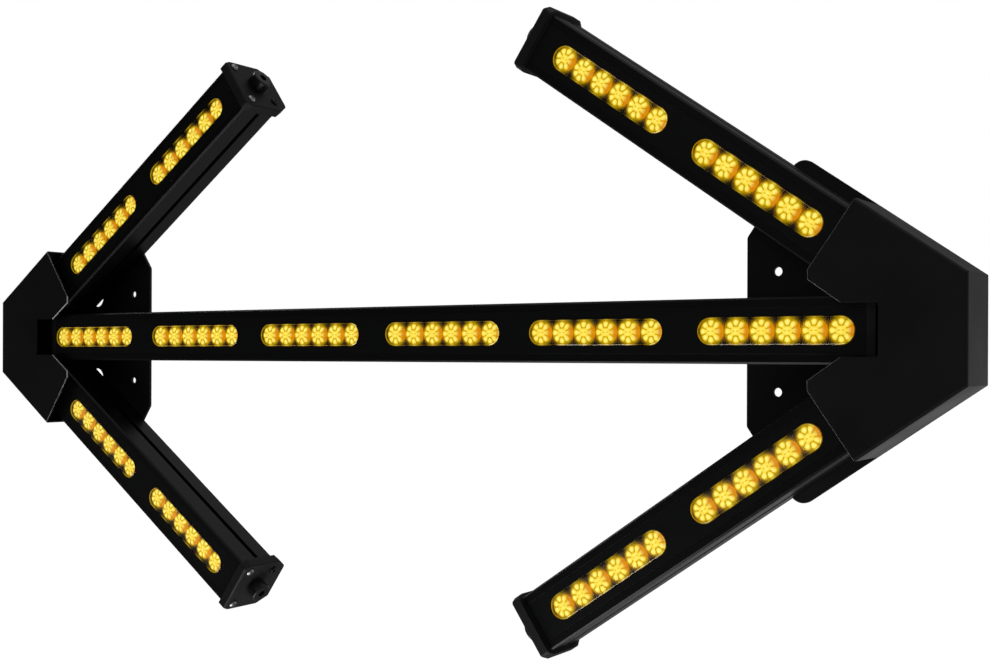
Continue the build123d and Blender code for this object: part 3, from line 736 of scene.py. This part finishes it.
# ---- operators ----
class ARROW_OT_bars(bpy.types.Operator):
    """Finish the bar extrusions and their face panels."""
    bl_idname = "arrow_board.bars"
    bl_label = "Bars"

    def execute(self, context):
        for bar in BARS:
            softened_copy(f"{bar}_housing", f"{bar}_bar_extrusion", "bar")
            softened_copy(f"{bar}_face_panel", f"{bar}_bar_face", "panel")
        return {"FINISHED"}


class ARROW_OT_optics(bpy.types.Operator):
    """Make the lit optics of every bar."""
    bl_idname = "arrow_board.optics"
    bl_label = "Lit optics"

    def execute(self, context):
        style = lamp_style()
        shapes = {side: mesh_object(f"optic_shape_{side}", optic_mesh(style, side)) for side in (-1, 1)}
        group = module_row_group()
        for bar, (place, stations) in BARS.items():
            facing = 1 if place.to_3x3().col[0].x > 0 else -1
            piece = run_group(group, {
                "Shape": shapes[facing], "Repeats": OPTICS_PER_MODULE, "Spacing": OPTIC_PITCH,
                "Modules": len(stations), "Module spacing": MODULE_PITCH, "First module": stations[0],
                "Finish": MATERIALS["optic"]}, f"{bar}_lit_optics", place)
            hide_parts(f"{bar}_optics")
            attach(piece, "root")
        remove(*shapes.values())
        return {"FINISHED"}


class ARROW_OT_decks(bpy.types.Operator):
    """Make the fluted deck round the optics of every bar."""
    bl_idname = "arrow_board.decks"
    bl_label = "Fluted decks"

    def execute(self, context):
        style = lamp_style()
        flute = mesh_object("flute_shape",
                            flute_mesh(FLUTE_LENGTH, FLUTE_WIDTH, FLUTE_HEIGHT, style.deck_depth))
        cell = mesh_object("cell_shape",
                           deck_cell_mesh(style, OPTIC_PITCH, DECK_HEIGHT, DECK_THICKNESS))
        group = module_row_group()
        count = int((WINDOW_LENGTH - WINDOW_HEIGHT / 2) / style.flute_spacing)
        for bar, (place, stations) in BARS.items():
            row = {"Modules": len(stations), "Module spacing": MODULE_PITCH, "First module": stations[0]}
            flutes = run_group(group, {"Shape": flute, "Repeats": count, "Spacing": style.flute_spacing,
                                       "Finish": MATERIALS["flute"], **row}, f"{bar}_deck_flutes", place)
            plate = run_group(group, {"Shape": cell, "Repeats": OPTICS_PER_MODULE, "Spacing": OPTIC_PITCH,
                                      "Finish": MATERIALS["deck"], **row}, f"{bar}_deck", place)
            for piece in (flutes, plate):
                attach(piece, "root")
        remove(flute, cell)
        return {"FINISHED"}


class ARROW_OT_windows(bpy.types.Operator):
    """Finish the window lenses, boards and LEDs."""
    bl_idname = "arrow_board.windows"
    bl_label = "Windows"

    def execute(self, context):
        for bar in BARS:
            dress(f"{bar}_window_lenses", MATERIALS["lens"])
            dress(f"{bar}_led_boards", MATERIALS["board"])
            dress(f"{bar}_leds", MATERIALS["board"])
        return {"FINISHED"}


class ARROW_OT_heads(bpy.types.Operator):
    """Finish the head covers, back plates and what they hold."""
    bl_idname = "arrow_board.heads"
    bl_label = "Heads"

    def execute(self, context):
        for head in HEADS:
            cover = softened_copy(f"{head}_head_cover", f"{head}_cover", "cover")
            paint_edge_highlights(cover, HEADS[head])
            softened_copy(f"{head}_back_plate", f"{head}_plate", "plate")
            dress(f"{head}_driver_module", MATERIALS["case"])
            dress(f"{head}_leads", MATERIALS["sheath"])
        return {"FINISHED"}


class ARROW_OT_ends(bpy.types.Operator):
    """Finish the end caps, plugs, seals and screws."""
    bl_idname = "arrow_board.ends"
    bl_label = "Ends and screws"

    def execute(self, context):
        for bar in BARS:
            if bar == "centre":
                dress("centre_left_cap", MATERIALS["inner_cap"])
                dress("centre_right_cap", MATERIALS["inner_cap"])
            else:
                dress(f"{bar}_outer_cap", MATERIALS["cap"])
                dress(f"{bar}_inner_cap", MATERIALS["inner_cap"])
        self.cap_screws()
        for node, finish in {
            "blanking_plugs": "fitting", "cable_glands": "fitting", "plug_seals": "rubber",
            "outer_cap_gaskets": "rubber", "inner_cap_gaskets": "rubber",
            "inner_cap_screws": "black_screw_and_painted_shade", "bar_screws": "black_screw_and_painted_shade", "slot_nuts": "black_screw_and_painted_shade",
            "cover_screws": "black_screw_and_painted_shade", "clinch_nuts": "black_screw_and_painted_shade", "driver_screws": "black_screw_and_painted_shade",
        }.items():
            dress(node, MATERIALS[finish])
        return {"FINISHED"}

    def cap_screws(self):
        """Screws of the free ends' caps: bright ones in front; the ones behind get the black screw finish
        as painted shade.
        """
        shape = mesh_object("screw_shape", button_head_mesh(*CAP_SCREW))
        group = scatter_group()
        for word, (across, depth), finish, slot in (
            ("front", FRONT_PORT, "bright_screw", "bright_screw"),
            # painted shade: the rear screws sit in shade, so they get the black finish
            ("rear", REAR_PORT, "black_screw_and_painted_shade", "dark_fastener"),
        ):
            places = [place @ Matrix.Translation((ARM_OUTER_END, depth, sign * across))
                      for bar, (place, _) in BARS.items() if bar != "centre" for sign in (-1, 1)]
            piece = run_group(group, {"Shape": shape, "Finish": MATERIALS[finish]}, f"{word}_cap_screws",
                              carrier=carrier_of(f"{word}_screw_places", places))
            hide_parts("outer_cap_screws")
            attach(piece, "root")
        remove(shape)


class ARROW_OT_stage(bpy.types.Operator):
    """Make the floor, lights and camera."""
    bl_idname = "arrow_board.stage"
    bl_label = "Stage"

    def execute(self, context):
        style = stage_style()
        low = cad_box[0].z - style.floor_drop
        mesh = bpy.data.meshes.new("floor")
        corners = [(x * FLOOR_REACH, y * FLOOR_REACH, low)
                   for x, y in ((-1, -1), (1, -1), (1, 1), (-1, 1))]
        mesh.from_pydata(corners, [], [(0, 1, 2, 3)])
        floor = mesh_object("floor", mesh)
        material = bpy.data.materials.new("pale studio floor")
        material.use_nodes = True
        tree = material.node_tree
        tree.nodes.clear()
        path = add(tree, "ShaderNodeLightPath")
        paint = add(tree, "ShaderNodeBsdfDiffuse", {"Color": linear("#6c6c6a")})
        spot = add(tree, "ShaderNodeTexCoord")
        axes = add(tree, "ShaderNodeSeparateXYZ", links={"Vector": spot.outputs["Object"]})
        # seen by the camera the floor is white; it lights the object less, and most from far behind
        lit = ranged(tree, axes.outputs["Y"], style.front_light, style.floor_light, 0.8, 2.4)
        strength = add(tree, "ShaderNodeMapRange", {"To Max": 1.0},
                       {"Value": path.outputs["Is Camera Ray"], "To Min": lit})
        glow = add(tree, "ShaderNodeEmission", {"Color": (1, 1, 1, 1)},
                   {"Strength": strength.outputs["Result"]})
        both = add(tree, "ShaderNodeAddShader", links={0: paint.outputs[0], 1: glow.outputs[0]})
        add(tree, "ShaderNodeOutputMaterial", links={"Surface": both.outputs[0]})
        floor.data.materials.append(material)
        # a plain display curve keeps the amber of the lamps saturated and the backdrop white
        context.scene.view_settings.view_transform = "Standard"
        self.lights(style)
        self.surroundings(style)
        self.camera(style)
        return {"FINISHED"}

    def lights(self, style):
        for name, power, size, place in (
            ("key", style.key_power, 1.6, (-0.2, -2.6, 1.4)),
            ("low side", style.low_power, 1.2, (2.1, -0.4, -0.9)),
            ("under", style.under_power, 0.9, (0.0, -0.25, -0.95)),
            ("top", style.top_power, 1.6, (0.0, 0.4, 2.0)),
            ("left", style.left_power, 0.7, (-1.6, 0.2, 1.0)),
        ):
            light = bpy.data.lights.new(name, "AREA")
            light.energy = power
            light.shape = "DISK"
            light.size = size
            lamp = bpy.data.objects.new(name, light)
            bpy.context.scene.collection.objects.link(lamp)
            lamp.location = place
            lamp.rotation_euler = (-Vector(place)).to_track_quat("-Z", "Y").to_euler()
            lamp.visible_camera = False

    def surroundings(self, style):
        world = bpy.data.worlds.new("studio")
        bpy.context.scene.world = world
        world.use_nodes = True
        tree = world.node_tree
        tree.nodes.clear()
        path = add(tree, "ShaderNodeLightPath")
        sight = add(tree, "ShaderNodeTexCoord")
        axes = add(tree, "ShaderNodeSeparateXYZ", links={"Vector": sight.outputs["Generated"]})
        behind = ranged(tree, axes.outputs["Y"], style.front_light, style.back_light, -0.2, 0.8)
        above = ranged(tree, axes.outputs["Z"], 0, style.sky_light, 0.35, 0.9)
        # the room is darker to the left, so the upper walls stay black beside the lit tip
        shade = ranged(tree, axes.outputs["X"], 0.2, 1, -0.25, 0.2)
        shaded = add(tree, "ShaderNodeMath", {"operation": "MULTIPLY"}, {0: behind, 1: shade})
        room = add(tree, "ShaderNodeMath", {"operation": "ADD"}, {0: shaded.outputs[0], 1: above})
        strength = add(tree, "ShaderNodeMapRange", {"To Max": 1.0},
                       {"Value": path.outputs["Is Camera Ray"], "To Min": room.outputs[0]})
        sky = add(tree, "ShaderNodeBackground", {"Color": (1, 1, 1, 1)},
                  {"Strength": strength.outputs["Result"]})
        add(tree, "ShaderNodeOutputWorld", links={"Surface": sky.outputs[0]})

    def camera(self, style):
        data = bpy.data.cameras.new("camera")
        data.sensor_width = 36
        data.lens = style.camera_lens
        data.shift_x, data.shift_y = style.camera_shift
        camera = bpy.data.objects.new("camera", data)
        bpy.context.scene.collection.objects.link(camera)
        camera.location = style.camera_place
        camera.rotation_euler = style.camera_turn
        bpy.context.scene.camera = camera


class ARROW_PT_panel(bpy.types.Panel):
    bl_idname = "ARROW_PT_panel"
    bl_label = "Arrow board light head"
    bl_space_type = "VIEW_3D"
    bl_region_type = "UI"
    bl_category = "Arrow Board"

    def draw(self, context):
        for operator in OPERATORS:
            self.layout.operator(operator.bl_idname)
        for style in (context.scene.arrow_lamp_style, context.scene.arrow_stage_style):
            for name in style.__annotations__:
                self.layout.prop(style, name)


OPERATORS = (ARROW_OT_stage, ARROW_OT_bars, ARROW_OT_decks, ARROW_OT_optics, ARROW_OT_windows,
             ARROW_OT_heads, ARROW_OT_ends)
CLASSES = (ArrowLampStyle, ArrowStageStyle, *OPERATORS, ARROW_PT_panel)


def register():
    for cls in CLASSES:
        bpy.utils.register_class(cls)
    bpy.types.Scene.arrow_lamp_style = bpy.props.PointerProperty(type=ArrowLampStyle)
    bpy.types.Scene.arrow_stage_style = bpy.props.PointerProperty(type=ArrowStageStyle)


def unregister():
    del bpy.types.Scene.arrow_lamp_style
    del bpy.types.Scene.arrow_stage_style
    for cls in reversed(CLASSES):
        bpy.utils.unregister_class(cls)


def main():
    register()
    make_materials()
    for operator in OPERATORS:
        group, name = operator.bl_idname.split(".")
        getattr(getattr(bpy.ops, group), name)()


if __name__ == "__main__":
    main()
